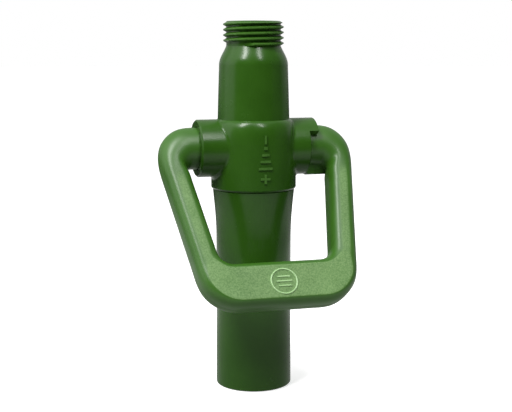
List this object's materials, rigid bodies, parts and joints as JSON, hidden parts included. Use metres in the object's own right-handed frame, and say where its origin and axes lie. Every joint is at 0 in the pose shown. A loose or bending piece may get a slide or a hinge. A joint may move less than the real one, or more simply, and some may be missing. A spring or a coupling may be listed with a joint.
{
  "type": "garden hose ball valve",
  "caption": "In-line plastic ball valve for a garden hose or lance, with a loop lever on side bosses, a male threaded outlet and a threaded tube inlet.",
  "frame": {"origin": "centre of the inlet mouth, in the plane of the inlet rim", "axes": "+Z along the flow axis towards the threaded outlet, +X along the trunnion axis to the side with the stop lip, -Y towards the front, where the flow scale and the lever are"},
  "size_m": [0.0678, 0.0539, 0.1267],
  "materials": {
    "body_plastic": "satin moulded green plastic",
    "lever_plastic": "satin moulded green plastic, fine grain on the flat face",
    "ball_plastic": "polished white acetal",
    "stem_plastic": "black acetal",
    "seat_plastic": "white low-friction plastic",
    "carrier_plastic": "natural grey plastic",
    "seal_rubber": "black nitrile rubber",
    "screw_steel": "stainless steel"
  },
  "bodies": {
    "body": {"valve_housing": "body_plastic", "outlet_neck": "body_plastic", "inlet_tube": "body_plastic", "outlet_seat": "seat_plastic", "outlet_seat_carrier": "carrier_plastic", "outlet_seat_o_ring": "seal_rubber", "inlet_seat": "seat_plastic", "inlet_seat_carrier": "carrier_plastic", "inlet_seat_o_ring": "seal_rubber", "outlet_joint_o_ring": "seal_rubber", "inlet_joint_o_ring": "seal_rubber", "inlet_washer": "seal_rubber", "right_thrust_washer": "seat_plastic", "left_thrust_washer": "seat_plastic"},
    "lever": {"handle_front_shell": "lever_plastic", "handle_rear_shell": "lever_plastic", "handle_screws": "screw_steel", "ball": "ball_plastic", "right_stem": "stem_plastic", "left_stem": "stem_plastic", "right_stem_o_rings": "seal_rubber", "left_stem_o_rings": "seal_rubber"}
  },
  "joints": [
    {"name": "handle_turn", "type": "hinge", "parent": "body", "child": "lever", "pos_m": [0, 0, 0.0837], "axis": [-1, 0, 0], "range_deg": [0, 90]}
  ]
}
